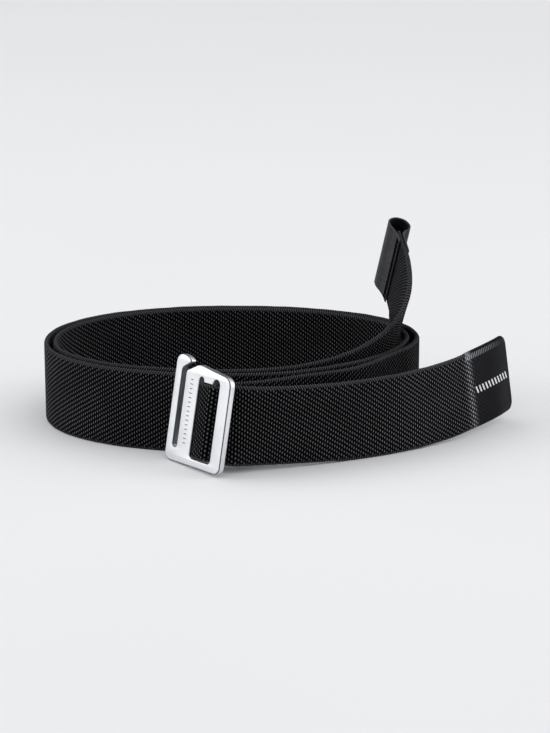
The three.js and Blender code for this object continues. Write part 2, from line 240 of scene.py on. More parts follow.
SAMPLES = 12000
sample_t = np.linspace(0, 1, SAMPLES + 1)
sample_at = catmull_rom([k[0] for k in ROUTE], sample_t)
sample_lean = catmull_rom([k[1] for k in ROUTE], sample_t)
sample_length = np.concatenate([[0], np.cumsum(np.linalg.norm(np.diff(sample_at, axis=0), axis=1))])
WEB_LENGTH = sample_length[-1]


def length_at_knot(index):
    return float(sample_length[round(SAMPLES * index / (len(ROUTE) - 1))])


def web_at(lengths):
    """Place, direction along, up across the width, outward normal and width of the web at lengths."""
    lengths = np.asarray(lengths, float)
    t = np.interp(lengths, sample_length, sample_t)
    at = np.stack([np.interp(t, sample_t, sample_at[:, i]) for i in range(3)], axis=1)
    step = 1.5 / SAMPLES
    along = catmull_rom([k[0] for k in ROUTE], t + step) - catmull_rom([k[0] for k in ROUTE], t - step)
    along /= np.linalg.norm(along, axis=1)[:, None]
    lean = np.stack([np.interp(t, sample_t, sample_lean[:, i]) for i in range(3)], axis=1)
    up = np.column_stack([lean[:, 0], lean[:, 1], np.ones(len(t))])
    up -= along * np.sum(up * along, axis=1)[:, None]
    up /= np.linalg.norm(up, axis=1)[:, None]
    return at, along, up, np.cross(up, along), lean[:, 2]


def place_at(length):
    return tuple(value[0] for value in web_at([length]))


# ---- Shader helpers ----
class Graph:
    """Short calls that add one shader node each; a value is a socket or a number."""

    def __init__(self, tree):
        self.tree = tree

    def feed(self, socket, value):
        if isinstance(value, bpy.types.NodeSocket):
            self.tree.links.new(value, socket)
        else:
            socket.default_value = value

    def math(self, operation, *values, clamp=False):
        node = self.tree.nodes.new("ShaderNodeMath")
        node.operation = operation
        node.use_clamp = clamp
        for socket, value in zip(node.inputs, values):
            self.feed(socket, value)
        return node.outputs[0]

    def web_place(self):
        """How far along and how far across the web a point is, in millimetres."""
        node = self.tree.nodes.new("ShaderNodeUVMap")
        node.uv_map = "web"
        split = self.tree.nodes.new("ShaderNodeSeparateXYZ")
        self.tree.links.new(node.outputs[0], split.inputs[0])
        return split.outputs[0], split.outputs[1]

    def noise(self, scale, detail=2.0):
        node = self.tree.nodes.new("ShaderNodeTexNoise")
        node.inputs["Scale"].default_value = scale
        node.inputs["Detail"].default_value = detail
        place = self.tree.nodes.new("ShaderNodeTexCoord").outputs["Object"]
        self.tree.links.new(place, node.inputs["Vector"])
        return node.outputs[0]

    def spread(self, value, low, high, out_low=0.0, out_high=1.0, mode="SMOOTHSTEP"):
        """The range from low to high carried over to the range from out_low to out_high."""
        node = self.tree.nodes.new("ShaderNodeMapRange")
        node.interpolation_type = mode
        for socket, each in zip(node.inputs, (value, low, high, out_low, out_high)):
            self.feed(socket, each)
        return node.outputs[0]

    def blend_colour(self, share, first, second):
        node = self.tree.nodes.new("ShaderNodeMix")
        node.data_type = "RGBA"
        self.feed(node.inputs["Factor"], share)
        self.feed(node.inputs["A"], (*first, 1.0) if isinstance(first, tuple) else first)
        self.feed(node.inputs["B"], (*second, 1.0) if isinstance(second, tuple) else second)
        return node.outputs["Result"]

    def bump(self, height, distance, strength=1.0):
        node = self.tree.nodes.new("ShaderNodeBump")
        node.inputs["Strength"].default_value = strength
        node.inputs["Distance"].default_value = distance
        self.tree.links.new(height, node.inputs["Height"])
        return node.outputs[0]


def new_material(name):
    material = bpy.data.materials.new(name)
    material.use_nodes = True
    nodes = material.node_tree.nodes
    nodes.clear()
    shader = nodes.new("ShaderNodeBsdfPrincipled")
    output = nodes.new("ShaderNodeOutputMaterial")
    material.node_tree.links.new(shader.outputs[0], output.inputs[0])
    return material, Graph(material.node_tree), shader


RIB_PITCH = 1.2  # mm between the web's cross ribs
FLOAT_PITCH = 2.2  # mm across the web between the floats of one rib
RIB_SHIFT = 0.34  # share of a float by which each rib is offset from the last, which makes the diagonals
RELAXED_END = 115.0  # mm at the free end over which the diagonals grow steeper
RELAXING = 0.0005  # floats of extra offset for each square mm into that stretch
FLOAT_REACH = 0.44  # half a float's length, as a share of the pitch
FLOAT_SQUARENESS = 2.2  # how flat a float's top is along its length
CROWN_SHARPNESS = 1.7  # how narrow a rib's crown is
RIB_FILL = 0.98  # share of the pitch that a rib takes up
WANDER = 0.22  # share of a float by which the floats wander
SELVEDGE = 1.5  # mm of plain weave at each edge
SELVEDGE_BLEND = 0.5  # mm over which the selvedge starts
HATCH_PITCH = 1.2  # mm along the selvedge between its slanted yarns
HATCH_SLANT = 0.5  # yarns by which the selvedge's slant shifts for each mm across

GLINT = (0.6, 0.6, 0.64)  # of the floats that the coating catches where it starts
NEAR_BLACK = (0.0004, 0.0004, 0.0005)  # in the gaps of the weave and of the thread's twist
FILM_LENGTH = 33.0
FILM_START = WEB_LENGTH - FILM_LENGTH


def weave(graph):
    """Height of the web's twill of short floats, from 0 in the gaps to 1, and how far into the selvedge."""
    u, v = graph.web_place()
    ribs = graph.math("DIVIDE", u, RIB_PITCH)
    rib = graph.math("FLOOR", ribs)
    wander = graph.math("MULTIPLY", graph.math("SUBTRACT", graph.noise(260.0), 0.5), WANDER)
    across_rib = graph.math("SUBTRACT", graph.math("SUBTRACT", ribs, rib), 0.5)
    shifted = graph.math("ADD", graph.math("DIVIDE", v, FLOAT_PITCH), graph.math("MULTIPLY", rib, RIB_SHIFT))
    relaxed = graph.math("MAXIMUM", graph.math("SUBTRACT", u, WEB_LENGTH - RELAXED_END), 0.0)
    relaxed = graph.math("MULTIPLY", graph.math("POWER", relaxed, 2.0), RELAXING)
    shifted = graph.math("ADD", graph.math("ADD", shifted, relaxed), wander)
    along_float = graph.math("SUBTRACT", graph.math("FRACT", shifted), 0.5)
    crown = graph.math("COSINE", graph.math("MULTIPLY", across_rib, math.pi * RIB_FILL))
    reach = graph.math("ABSOLUTE", graph.math("DIVIDE", along_float, FLOAT_REACH))
    body = graph.math("SUBTRACT", 1.0, graph.math("POWER", reach, FLOAT_SQUARENESS), clamp=True)
    floats = graph.math("MULTIPLY", graph.math("POWER", crown, CROWN_SHARPNESS), body)
    selvedge_starts = WEB_WIDTH / 2 - SELVEDGE
    edge = graph.spread(graph.math("ABSOLUTE", v), selvedge_starts, selvedge_starts + SELVEDGE_BLEND)
    slant = graph.math("ADD", graph.math("DIVIDE", u, HATCH_PITCH), graph.math("MULTIPLY", v, HATCH_SLANT))
    hatch = graph.math("SINE", graph.math("MULTIPLY", slant, 2 * math.pi))
    hatch = graph.math("MULTIPLY_ADD", hatch, 0.5, 0.5)
    height = graph.math("ADD", graph.math("MULTIPLY", floats, graph.math("SUBTRACT", 1.0, edge)),
                        graph.math("MULTIPLY", hatch, edge))
    return height, edge


def webbing_material():
    """Black elastic webbing: painted highlights on the floats over dark gaps, brighter toward the tip, with
    hatched selvedges painted lighter on their crowns.
    """
    material, graph, shader = new_material("webbing")
    u, _ = graph.web_place()
    height, edge = weave(graph)
    patches = graph.spread(graph.noise(45.0, 3.0), 0.3, 0.7, 0.86, 1.12)
    fibre = graph.spread(graph.noise(1900.0, 2.0), 0.25, 0.75, 0.8, 1.2)
    tone = graph.math("MULTIPLY", patches, fibre)
    # painted highlight: the floats' crowns are lighter than the black yarn, more so toward the tip
    lit = graph.math("MULTIPLY", graph.math("POWER", height, 3.2), tone)
    brighter = graph.spread(u, FILM_START - 90.0, FILM_START - 8.0, 0.0, 1.0, "LINEAR")
    near_tip = graph.spread(u, FILM_START - 4.0, FILM_START + 1.0)
    glinting = graph.blend_colour(brighter, (0.165, 0.165, 0.176), (0.27, 0.27, 0.288))
    glinting = graph.blend_colour(near_tip, glinting, GLINT)
    colour = graph.blend_colour(lit, NEAR_BLACK, glinting)
    # painted highlight on the crowns of the selvedge's hatch
    hatched = graph.blend_colour(height, (0.002, 0.002, 0.0025), (0.09, 0.09, 0.098))
    colour = graph.blend_colour(graph.math("MULTIPLY", edge, 0.8), colour, hatched)
    graph.feed(shader.inputs["Base Color"], colour)
    graph.feed(shader.inputs["Roughness"], graph.spread(height, 0.0, 1.0, 0.9, 0.5, "LINEAR"))
    shader.inputs["Specular IOR Level"].default_value = 0.025
    shader.inputs["Sheen Weight"].default_value = 0.003
    shader.inputs["Sheen Roughness"].default_value = 0.45
    shader.inputs["Sheen Tint"].default_value = (0.75, 0.78, 0.85, 1.0)
    graph.feed(shader.inputs["Normal"], graph.bump(height, 0.0004))
    return material


FADE_LENGTH = 17.0  # mm of coating over which the weave under it fades
RIM_LOW, RIM_HIGH = 14.9, 18.0  # mm above the web's middle of the lit row along the tip's upper edge
RIM_SOFTNESS = 0.6
RIM_LENGTH = 29.0
RIM_BAR_PITCH = 1.35


def film_material():
    """The coating, through which the weave shows where it starts."""
    material, graph, shader = new_material("tip_coating")
    u, v = graph.web_place()
    height, _ = weave(graph)
    fade = graph.spread(u, FILM_START, FILM_START + FADE_LENGTH, 1.0, 0.0, "LINEAR")
    band = graph.spread(u, FILM_START + 1.0, FILM_START + 5.5, 1.0, 0.0)
    relief = graph.math("MULTIPLY", height, graph.math("MULTIPLY_ADD", fade, 0.85, 0.08))
    mottled = graph.spread(graph.noise(160.0, 3.0), 0.3, 0.7, 0.7, 1.25)
    raised = graph.math("MULTIPLY", relief, mottled)
    base = graph.blend_colour(raised, (0.0012, 0.0013, 0.0026), (0.014, 0.015, 0.021))
    glint = graph.math("MULTIPLY", band, graph.math("POWER", height, 2.6))
    base = graph.blend_colour(glint, base, GLINT)
    bars = graph.math("SINE", graph.math("MULTIPLY", u, 2 * math.pi / RIM_BAR_PITCH))
    bars = graph.spread(bars, -0.1, 0.7)
    rim = graph.math("MULTIPLY", graph.spread(v, RIM_LOW, RIM_LOW + RIM_SOFTNESS),
                     graph.spread(v, RIM_HIGH - RIM_SOFTNESS, RIM_HIGH, 1.0, 0.0))
    fading = graph.spread(u, FILM_START, FILM_START + RIM_LENGTH, 1.0, 0.04, "LINEAR")
    rim = graph.math("MULTIPLY", rim, fading)
    base = graph.blend_colour(graph.math("MULTIPLY", bars, rim), base, (0.38, 0.38, 0.42))
    graph.feed(shader.inputs["Base Color"], base)
    graph.feed(shader.inputs["Roughness"], graph.spread(graph.noise(90.0), 0.3, 0.7, 0.3, 0.42))
    shader.inputs["Specular IOR Level"].default_value = 0.06
    shader.inputs["Coat Weight"].default_value = 0.02
    shader.inputs["Coat Roughness"].default_value = 0.22
    graph.feed(shader.inputs["Normal"], graph.bump(relief, 0.00022, 0.8))
    return material


CLOTH_PITCH = 0.42  # mm between the tab's yarns
TWIST_PITCH = 0.5  # mm along the thread for one turn of its plies


def coated_fabric_material():
    """Smooth charcoal fabric with a very fine even weave under its coating."""
    material, graph, shader = new_material("tab_fabric")
    u, v = graph.web_place()
    weft = graph.math("SINE", graph.math("MULTIPLY", u, 2 * math.pi / CLOTH_PITCH))
    warp = graph.math("SINE", graph.math("MULTIPLY", v, 2 * math.pi / CLOTH_PITCH))
    cloth = graph.math("MULTIPLY_ADD", graph.math("MULTIPLY", weft, warp), 0.5, 0.5)
    grain = graph.noise(700.0, 4.0)
    cloudy = graph.spread(graph.noise(110.0, 3.0), 0.3, 0.7)
    base = graph.blend_colour(cloudy, (0.0105, 0.011, 0.0135), (0.0165, 0.0175, 0.0205))
    # lighter along both edges of the strip
    near_edges = graph.spread(graph.math("ABSOLUTE", v), WEB_WIDTH / 2 - 1.0, WEB_WIDTH / 2 - 0.1)
    base = graph.blend_colour(graph.math("MULTIPLY", near_edges, 0.6), base, (0.075, 0.075, 0.082))
    base = graph.blend_colour(graph.math("MULTIPLY", cloth, 0.25), base, (0.006, 0.006, 0.008))
    graph.feed(shader.inputs["Base Color"], base)
    graph.feed(shader.inputs["Roughness"], graph.spread(grain, 0.3, 0.7, 0.5, 0.66))
    shader.inputs["Specular IOR Level"].default_value = 0.3
    shader.inputs["Sheen Weight"].default_value = 0.02
    shader.inputs["Sheen Roughness"].default_value = 0.4
    surface = graph.math("MULTIPLY_ADD", cloth, 0.5, graph.math("MULTIPLY", grain, 0.5))
    graph.feed(shader.inputs["Normal"], graph.bump(surface, 0.00006, 0.6))
    return material


def thread_material():
    """Black sewing thread; here u is along the thread and v goes from 0 to 1 round it."""
    material, graph, shader = new_material("thread")
    u, v = graph.web_place()
    twist = graph.math("SINE", graph.math("ADD", graph.math("MULTIPLY", u, 2 * math.pi / TWIST_PITCH),
                                          graph.math("MULTIPLY", v, 2 * math.pi)))
    twist = graph.math("MULTIPLY_ADD", twist, 0.5, 0.5)
    graph.feed(shader.inputs["Base Color"], graph.blend_colour(twist, NEAR_BLACK, (0.003, 0.003, 0.0035)))
    graph.feed(shader.inputs["Roughness"], graph.spread(twist, 0.0, 1.0, 0.85, 0.7))
    shader.inputs["Specular IOR Level"].default_value = 0.05
    graph.feed(shader.inputs["Normal"], graph.bump(twist, 0.00005, 0.7))
    return material


def print_material():
    """Pale ink, a little worn."""
    material, graph, shader = new_material("print")
    worn = graph.spread(graph.noise(1500.0, 3.0), 0.28, 0.5)
    graph.feed(shader.inputs["Base Color"], graph.blend_colour(worn, (0.42, 0.43, 0.46), (0.86, 0.86, 0.88)))
    graph.feed(shader.inputs["Roughness"], graph.spread(worn, 0.0, 1.0, 0.5, 0.38))
    return material


def steel_material(name, light, dark):
    """Satin plated metal with a fine bead-blast grain and faint handling marks."""
    material, graph, shader = new_material(name)
    grain = graph.noise(2600.0, 2.0)
    smudge = graph.spread(graph.noise(75.0, 4.0), 0.35, 0.7)
    graph.feed(shader.inputs["Base Color"], graph.blend_colour(smudge, light, dark))
    shader.inputs["Metallic"].default_value = 1.0
    rough = graph.math("ADD", graph.spread(smudge, 0.0, 1.0, 0.27, 0.34), graph.math("MULTIPLY", grain, 0.05))
    graph.feed(shader.inputs["Roughness"], rough)
    graph.feed(shader.inputs["Normal"], graph.bump(grain, 0.00001, 0.35))
    return material


# ---- Mesh helpers ----
def mesh_object(name, vertices, faces, material, uvs=None, smooth_faces=True):
    """A new object whose vertices are millimetres of the route; uvs gives each vertex its web coordinates."""
    mesh = bpy.data.meshes.new(name)
    placed = (np.asarray(vertices, float) - FLOOR_MIDDLE) * MM
    mesh.from_pydata(placed.tolist(), [], [list(map(int, f)) for f in faces])
    mesh.update()
    if uvs is not None:
        corner = np.empty(len(mesh.loops), np.int32)
        mesh.loops.foreach_get("vertex_index", corner)
        layer = mesh.uv_layers.new(name="web")
        layer.data.foreach_set("uv", np.asarray(uvs, np.float32)[corner].ravel())
    if smooth_faces:
        mesh.shade_smooth()
    mesh.materials.append(material)
    made = bpy.data.objects.new(name, mesh)
    bpy.context.scene.collection.objects.link(made)
    return made


def rings_to_faces(rings, sides, capped=True):
    """Quads between rings of vertices, each of the same number of sides, with an end face on both ends."""
    ring = np.arange(rings - 1)[:, None] * sides
    side = np.arange(sides)[None, :]
    after = (side + 1) % sides
    quads = np.stack([ring + side, ring + sides + side, ring + sides + after, ring + after], axis=-1)
    faces = [tuple(q) for q in quads.reshape(-1, 4)]
    if capped:
        faces.append(tuple(range(sides)))
        faces.append(tuple(range(rings * sides - 1, (rings - 1) * sides - 1, -1)))
    return faces


FACE_STEPS = 12
EDGE_STEPS = 5


def strip_section(width, thickness, face_steps=FACE_STEPS, edge_steps=EDGE_STEPS):
    """Ring of a strip's section with round edges: across and out offsets, for arrays of sizes."""
    radius = thickness / 2
    flat = width / 2 - radius
    across, out = [], []
    for side in (1, -1):
        for i in range(face_steps):
            share = 1 - 2 * i / (face_steps - 1)
            across.append(side * share * flat)
            out.append(side * radius)
        for i in range(1, edge_steps):
            angle = math.pi * i / edge_steps
            across.append(-side * (flat + radius * math.sin(angle)))
            out.append(side * radius * math.cos(angle))
    return np.stack(across, axis=1), np.stack(out, axis=1)


def band_mesh(at, up, out, lengths, across, outward, uv_across):
    """Vertices, faces and web coordinates of a strip with one ring of its section at each length."""
    vertices = at[:, None] + up[:, None] * across[..., None] + out[:, None] * outward[..., None]
    rings, sides = across.shape
    uvs = np.stack([np.broadcast_to(lengths[:, None], across.shape), uv_across], axis=-1)
    return vertices.reshape(-1, 3), rings_to_faces(rings, sides), uvs.reshape(-1, 2)


TIP_CORNER = 3.4
SEWN_LENGTH = 8.6  # mm from the web's end to the edge of the tab's front leg
SEWN_THICKNESS = 1.5
SWELLING_LENGTH = 7.0  # mm past that edge where the web starts to swell, and over which it does
RIB_RELIEF = 0.09
COATED_THINNER = 0.7
COATED_NARROWER = 0.8
END_GAP = 0.5  # mm between the web's end and the outside of its coating


def tip_narrowing(left):
    """How far the rounded corner moves each edge in, a length left before the end."""
    reach = np.clip(TIP_CORNER - np.maximum(left, 0), 0, TIP_CORNER)
    return TIP_CORNER - np.sqrt(np.maximum(TIP_CORNER**2 - reach**2, 0.01))


def add_web_piece(name, first, last, material):
    """A stretch of ribbed web between two lengths, with two rings of vertices for each cross rib."""
    count = max(2, round((last - first) / (RIB_PITCH / 2)))
    lengths = np.linspace(first, last, count + 1)
    at, _, up, out, width = web_at(lengths)
    rib = np.cos(lengths * 2 * math.pi / RIB_PITCH)
    sewn = smooth((lengths - SEWN_LENGTH - SWELLING_LENGTH) / SWELLING_LENGTH)
    coated = smooth((lengths - FILM_START + 1.5) / 2)
    thickness = SEWN_THICKNESS + (WEB_THICKNESS - SEWN_THICKNESS) * sewn - coated * COATED_THINNER
    thickness = thickness + RIB_RELIEF * rib * (1 - coated) * sewn
    unsteady = 0.10 * np.sin(lengths / 7.3 + 1) + 0.07 * np.sin(lengths / 2.9)
    unsteady += 0.05 * np.sin(lengths / 1.7 + 2)
    width = width + (unsteady + RIB_RELIEF * rib) * (1 - coated)
    width = width - COATED_NARROWER * coated - 2 * tip_narrowing(WEB_LENGTH - END_GAP - lengths) * coated
    across, outward = strip_section(width, thickness)
    uv_across = across / (width[:, None] / WEB_WIDTH)
    vertices, faces, uvs = band_mesh(at, up, out, lengths, across, outward, uv_across)
    return mesh_object(name, vertices, faces, material, uvs)


# ---- Web ----
# Lengths at which the web is cut into pieces, and three flex lengths with how far to each side; the points
# found from them are not used
TAIL_CUT = 118.0
BUCKLE_CUT = length_at_knot(len(BEFORE_FOLD) - 3) - 6.0
FOLD_CUT = length_at_knot(len(BEFORE_FOLD)) + 1.0
TAIL_FLEX = length_at_knot(4)
TAIL_FLEX_REACH = 14.0
BUCKLE_FLEX = length_at_knot(len(BEFORE_FOLD) - 1) - 6.0
BUCKLE_FLEX_REACH = 9.0
FREE_END_FLEX = length_at_knot(len(BEFORE_FOLD) + len(FOLD) + 2)
FREE_END_FLEX_REACH = 9.0


def flex_points(length, reach):
    near, far = place_at(length - reach)[0], place_at(length + reach)[0]
    return to_frame(near), to_frame(far)


def add_web():
    """The strap, as four stretches that meet end to end."""
    webbing = webbing_material()
    stretches = {
        "web_tail": (0.0, TAIL_CUT),
        "web_coil": (TAIL_CUT, BUCKLE_CUT),
        "web_to_buckle": (BUCKLE_CUT, FOLD_CUT),
        "web_free_end": (FOLD_CUT, WEB_LENGTH - END_GAP),
    }
    pieces = {}
    for name, (first, last) in stretches.items():
        piece = add_web_piece(name, first, last, webbing)
        pieces[name] = piece
    near, far = flex_points(TAIL_FLEX, TAIL_FLEX_REACH)
    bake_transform(pieces["web_tail"])
    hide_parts("webbing_tail")
    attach(pieces["web_coil"], "coil")
    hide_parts("webbing_coil")
    near, far = flex_points(BUCKLE_FLEX, BUCKLE_FLEX_REACH)
    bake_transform(pieces["web_to_buckle"])
    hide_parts("webbing_fold")
    near, far = flex_points(FREE_END_FLEX, FREE_END_FLEX_REACH)
    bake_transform(pieces["web_free_end"])
    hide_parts("webbing_free_end")


# ---- Coated tip ----
FILM_WALL = 0.28
FILM_THICKNESS = 2.42  # over the web and both walls
FILM_WIDER = 0.3
LIP = 0.16
LIP_LENGTH = 1.2
FILM_STEPS = 44
CORNER_STEPS = 14


def add_tip():
    """A thin glossy skin over the web's end, with a soft lip where it starts."""
    corner = 1 - np.sin(np.linspace(0, math.pi / 2, CORNER_STEPS)[1:])
    straight = np.linspace(FILM_START, WEB_LENGTH - TIP_CORNER, FILM_STEPS)
    outer = np.concatenate([straight, WEB_LENGTH - TIP_CORNER * corner])
    inner = outer[::-1] - np.linspace(FILM_WALL, 0, len(outer))
    rings = []
    for lengths, grow in ((outer, 0.0), (inner, -FILM_WALL)):
        at, _, up, out, width = web_at(lengths)
        lip = LIP * (1 - smooth((lengths - FILM_START) / LIP_LENGTH))
        width = width + FILM_WIDER + 2 * grow - 2 * tip_narrowing(WEB_LENGTH + grow - lengths) - lip
        across, outward = strip_section(width, np.full(len(lengths), FILM_THICKNESS) + 2 * grow - lip)
        rings.append((at, up, out, lengths, across, outward))
    at, up, out, lengths, across, outward = (np.concatenate(both) for both in zip(*rings))
    vertices, faces, uvs = band_mesh(at, up, out, lengths, across, outward, across)
    count, sides = across.shape
    turn = len(outer)
    # The outer skin is capped at the tip, the inner one inside it, and the two meet round the mouth.
    skin = rings_to_faces(turn, sides, capped=False)
    lining = rings_to_faces(count - turn, sides, capped=False)
    lining = [tuple(v + turn * sides for v in face) for face in lining]
    tip_ring = [(turn - 1) * sides + i for i in range(sides)]
    lining_ring = [turn * sides + i for i in range(sides)]
    mouth = []
    for i in range(sides):
        after = (i + 1) % sides
        mouth.append(((count - 1) * sides + i, i, after, (count - 1) * sides + after))
    faces = skin + lining + mouth + [tuple(reversed(tip_ring)), tuple(lining_ring)]
    tip = mesh_object("tip_coating", vertices, faces, film_material(), uvs)
    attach(tip, "free_end")
    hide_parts("tip_film")


PRINT_BARS = 11
PRINT_PITCH = 2.4
PRINT_BAR = (1.0, 3.4)  # along and across the web
PRINT_SLANT = 0.35
PRINT_LAST = 3.2  # mm from the last bar's middle to the tip
PRINT_BELOW = 0.6  # mm from the web's middle down to the row's
PRINT_DEPTHS = (1.2, 1.265)  # of the ink's two faces, from the web's middle


def add_print():
    """A plain row of slanted bars printed along the tip, each a thin slab of five quads a side."""
    vertices, faces, uvs = [], [], []
    start = WEB_LENGTH - PRINT_LAST - PRINT_PITCH * (PRINT_BARS - 1)
    for bar in range(PRINT_BARS):
        for depth in PRINT_DEPTHS:
            for share in np.linspace(-0.5, 0.5, 6):
                for edge in (-0.5, 0.5):
                    up_by = -PRINT_BELOW + share * PRINT_BAR[1]
                    slanted = share * PRINT_BAR[1] * PRINT_SLANT
                    length = start + bar * PRINT_PITCH + edge * PRINT_BAR[0] - slanted
                    at, _, up, out, _ = place_at(length)
                    vertices.append(at + up * up_by - out * depth)
                    uvs.append((length, up_by))
        first = bar * 24
        low = [first + i for i in range(12)]
        high = [i + 12 for i in low]
        for i in range(5):
            a, b, c, d = 2 * i, 2 * i + 1, 2 * i + 3, 2 * i + 2
            faces.append((high[a], high[b], high[c], high[d]))
            faces.append((low[d], low[c], low[b], low[a]))
            faces.append((low[a], high[a], high[d], low[d]))
            faces.append((high[b], low[b], low[c], high[c]))
        faces.append((low[0], low[1], high[1], high[0]))
        faces.append((high[10], high[11], low[11], low[10]))
    bars = mesh_object("tip_print", vertices, faces, print_material(), uvs, smooth_faces=False)
    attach(bars, "free_end")


# ---- Buckle ----
def arc(centre, radius, start, end, steps=8):
    """Points of an arc, with angles in degrees."""
    angles = np.radians(np.linspace(start, end, steps + 1))
    return [(centre[0] + radius * math.cos(a), centre[1] + radius * math.sin(a)) for a in angles]


def bezier(*controls, steps=8):
    points = []
    for t in np.linspace(0, 1, steps + 1):
        level = [np.array(c, float) for c in controls]
        while len(level) > 1:
            level = [a * (1 - t) + b * t for a, b in zip(level, level[1:])]
        points.append(tuple(level[0]))
    return points


def plate_outline():
    """Anticlockwise from the lower left corner, with the open hook slot on the left."""
    points = [(4, 0), (20, 0)]
    points += arc((36.5, 3.5), 3.5, -90, 0)
    points += [(40, 20)]
    points += bezier((40, 39.4), (40, 42.2), (38.6, 43.8), (35.8, 44.3))
    points += [(27, 45.36)]
    points += bezier((19.2, 46.3), (16.9, 46.7), (14.8, 45.7))
    points += bezier((8.9, 42.8), (7.9, 42.3), (7.9, 41))
    points += [(7.9, 25)]
    points += arc((6.35, 8), 1.55, 0, -180, 10)
    points += [(4.8, 25)]
    points += bezier((4.8, 41.6), (4.8, 42.9), (5.7, 43.5))
    points += bezier((9.7, 45.9), (11, 46.7), (9.8, 47.7))
    points += bezier((9.8, 47.7), (7.6, 49.2), (4.1, 49.2))[1:]
    points += arc((4.1, 45.1), 4.1, 90, 180)[1:]
    points += [(0, 25)]
    points += arc((4, 4), 4, 180, 270)
    return points


def slot_outline():
    """Clockwise: up the left side, the two lobes with the middle bar's root between them, and back."""
    left, left_radius, right_radius, right = 17.6, 1.75, 2.65, 32.7
    points = arc((left + 2, SLOTS_BOTTOM + 2), 2, 270, 180)
    points += [(left, 22)]
    points += arc((left + left_radius, SLOTS_TOP + 0.1), left_radius, 180, 0)
    points += bezier((left + 2 * left_radius, SLOTS_TOP), (left + 2 * left_radius, SLOTS_TOP - 0.5),
                     (left + 2 * left_radius + 0.9, SLOTS_TOP - 0.5), steps=4)
    right_lobe = right - 2 * right_radius
    points += bezier((right_lobe - 0.9, SLOTS_TOP - 0.5), (right_lobe, SLOTS_TOP - 0.5),
                     (right_lobe, SLOTS_TOP), steps=4)
    points += arc((right - right_radius, SLOTS_TOP - 0.3), right_radius, 180, 0)
    points += [(right, 22)]
    points += arc((right - 2, SLOTS_BOTTOM + 2), 2, 0, -90)
    return points


def without_repeats(points):
    kept = [points[0]]
    for point in points[1:]:
        if math.dist(point, kept[-1]) > 0.02:
            kept.append(point)
    if math.dist(kept[0], kept[-1]) < 0.02:
        kept.pop()
    return np.array(kept)


def inward(points, distance):
    """A closed outline moved towards its left-hand side, which is where the metal is."""
    before = points - np.roll(points, 1, axis=0)
    after = np.roll(points, -1, axis=0) - points
    normals = []
    for step in (before, after):
        step = step / np.linalg.norm(step, axis=1)[:, None]
        normals.append(np.stack([-step[:, 1], step[:, 0]], axis=1))
    joint = normals[0] + normals[1]
    joint /= np.maximum(np.sum(joint * normals[0], axis=1), 0.5)[:, None]
    return points + joint * distance


RIM_RADIUS = 0.5
RIM_STEPS = 5
BAR_LET_IN = 1.5


def plate_solid():
    """The plate with a rounded rim all round, and which of its faces are on the front outer rim."""
    outlines = [without_repeats(plate_outline()), without_repeats(slot_outline())]
    profile = []
    for i in range(RIM_STEPS + 1):
        angle = math.pi / 2 * i / RIM_STEPS
        profile.append((RIM_RADIUS * (1 - math.sin(angle)), RIM_RADIUS * (1 - math.cos(angle))))
    profile += [(inset, PLATE_THICKNESS - back) for inset, back in reversed(profile)]
    vertices, faces, rim_faces, front_loops, back_loops = [], [], [], [], []
    for which, outline in enumerate(outlines):
        first, count = len(vertices), len(outline)
        for inset, back in profile:
            vertices += [on_plate(u, back, v) for u, v in inward(outline, inset)]
        for ring in range(len(profile) - 1):
            for i in range(count):
                a, b = first + ring * count + i, first + ring * count + (i + 1) % count
                if which == 0 and 1 <= ring < RIM_STEPS:
                    rim_faces.append(len(faces))
                faces.append((a, b, b + count, a + count))
        last = first + (len(profile) - 1) * count
        flat_edge = inward(outline, RIM_RADIUS)
        front_loops.append([(first + i, *flat_edge[i]) for i in range(count)])
        back_loops.append([(last + i, *flat_edge[i]) for i in range(count)])
    for loops in (front_loops, back_loops):
        flat = [[Vector((u, v, 0)) for _, u, v in loop] for loop in loops]
        index = [entry[0] for loop in loops for entry in loop]
        faces += [tuple(index[i] for i in triangle) for triangle in tessellate_polygon(flat)]
    return vertices, faces, rim_faces


def bar_solid():
    """The middle bar, set back in the plate and let into it at both ends."""
    section = []
    left, right = BAR_LEFT + BAR_ROUNDING, BAR_RIGHT - BAR_ROUNDING
    near, far = BAR_ROUNDING, BAR_THICKNESS - BAR_ROUNDING
    for centre, start in (((left, near), 180), ((right, near), 270), ((right, far), 0), ((left, far), 90)):
        section += arc(centre, BAR_ROUNDING, start, start + 90, 5)
    section = without_repeats(section)
    bottom, top = SLOTS_BOTTOM - BAR_LET_IN, SLOTS_TOP + BAR_LET_IN
    front = PLATE_THICKNESS - BAR_THICKNESS
    vertices = [on_plate(u, front + back, v) for v in (bottom, top) for u, back in section]
    count = len(section)
    faces = [(i, (i + 1) % count, count + (i + 1) % count, count + i) for i in range(count)]
    faces += [tuple(reversed(range(count))), tuple(range(count, 2 * count))]
    return vertices, faces


def block_solid(u, v, width, height, lean, depth):
    """A small block across the plate's front face, for an engraved mark."""
    vertices = []
    for back in (-0.5, depth):
        for du, dv in ((-1, -1), (1, -1), (1, 1), (-1, 1)):
            vertices.append(on_plate(u + du * width / 2 + dv * lean, back, v + dv * height / 2))
    faces = [(0, 1, 2, 3), (7, 6, 5, 4), (0, 4, 5, 1), (1, 5, 6, 2), (2, 6, 7, 3), (3, 7, 4, 0)]
    return vertices, faces


def face_outwards(made):
    """Turns every face of a closed mesh outwards."""
    shape = bmesh.new()
    shape.from_mesh(made.data)
    bmesh.ops.recalc_face_normals(shape, faces=shape.faces)
    shape.to_mesh(made.data)
    shape.free()


def cut_or_join(target, other, operation):
    """A boolean of other on target, after which other is gone."""
    face_outwards(other)
    modifier = target.modifiers.new("boolean", "BOOLEAN")
    modifier.operation = operation
    modifier.solver = "EXACT"
    modifier.object = other
    bpy.context.view_layer.objects.active = target
    bpy.ops.object.modifier_apply(modifier=modifier.name)
    bpy.data.objects.remove(other)


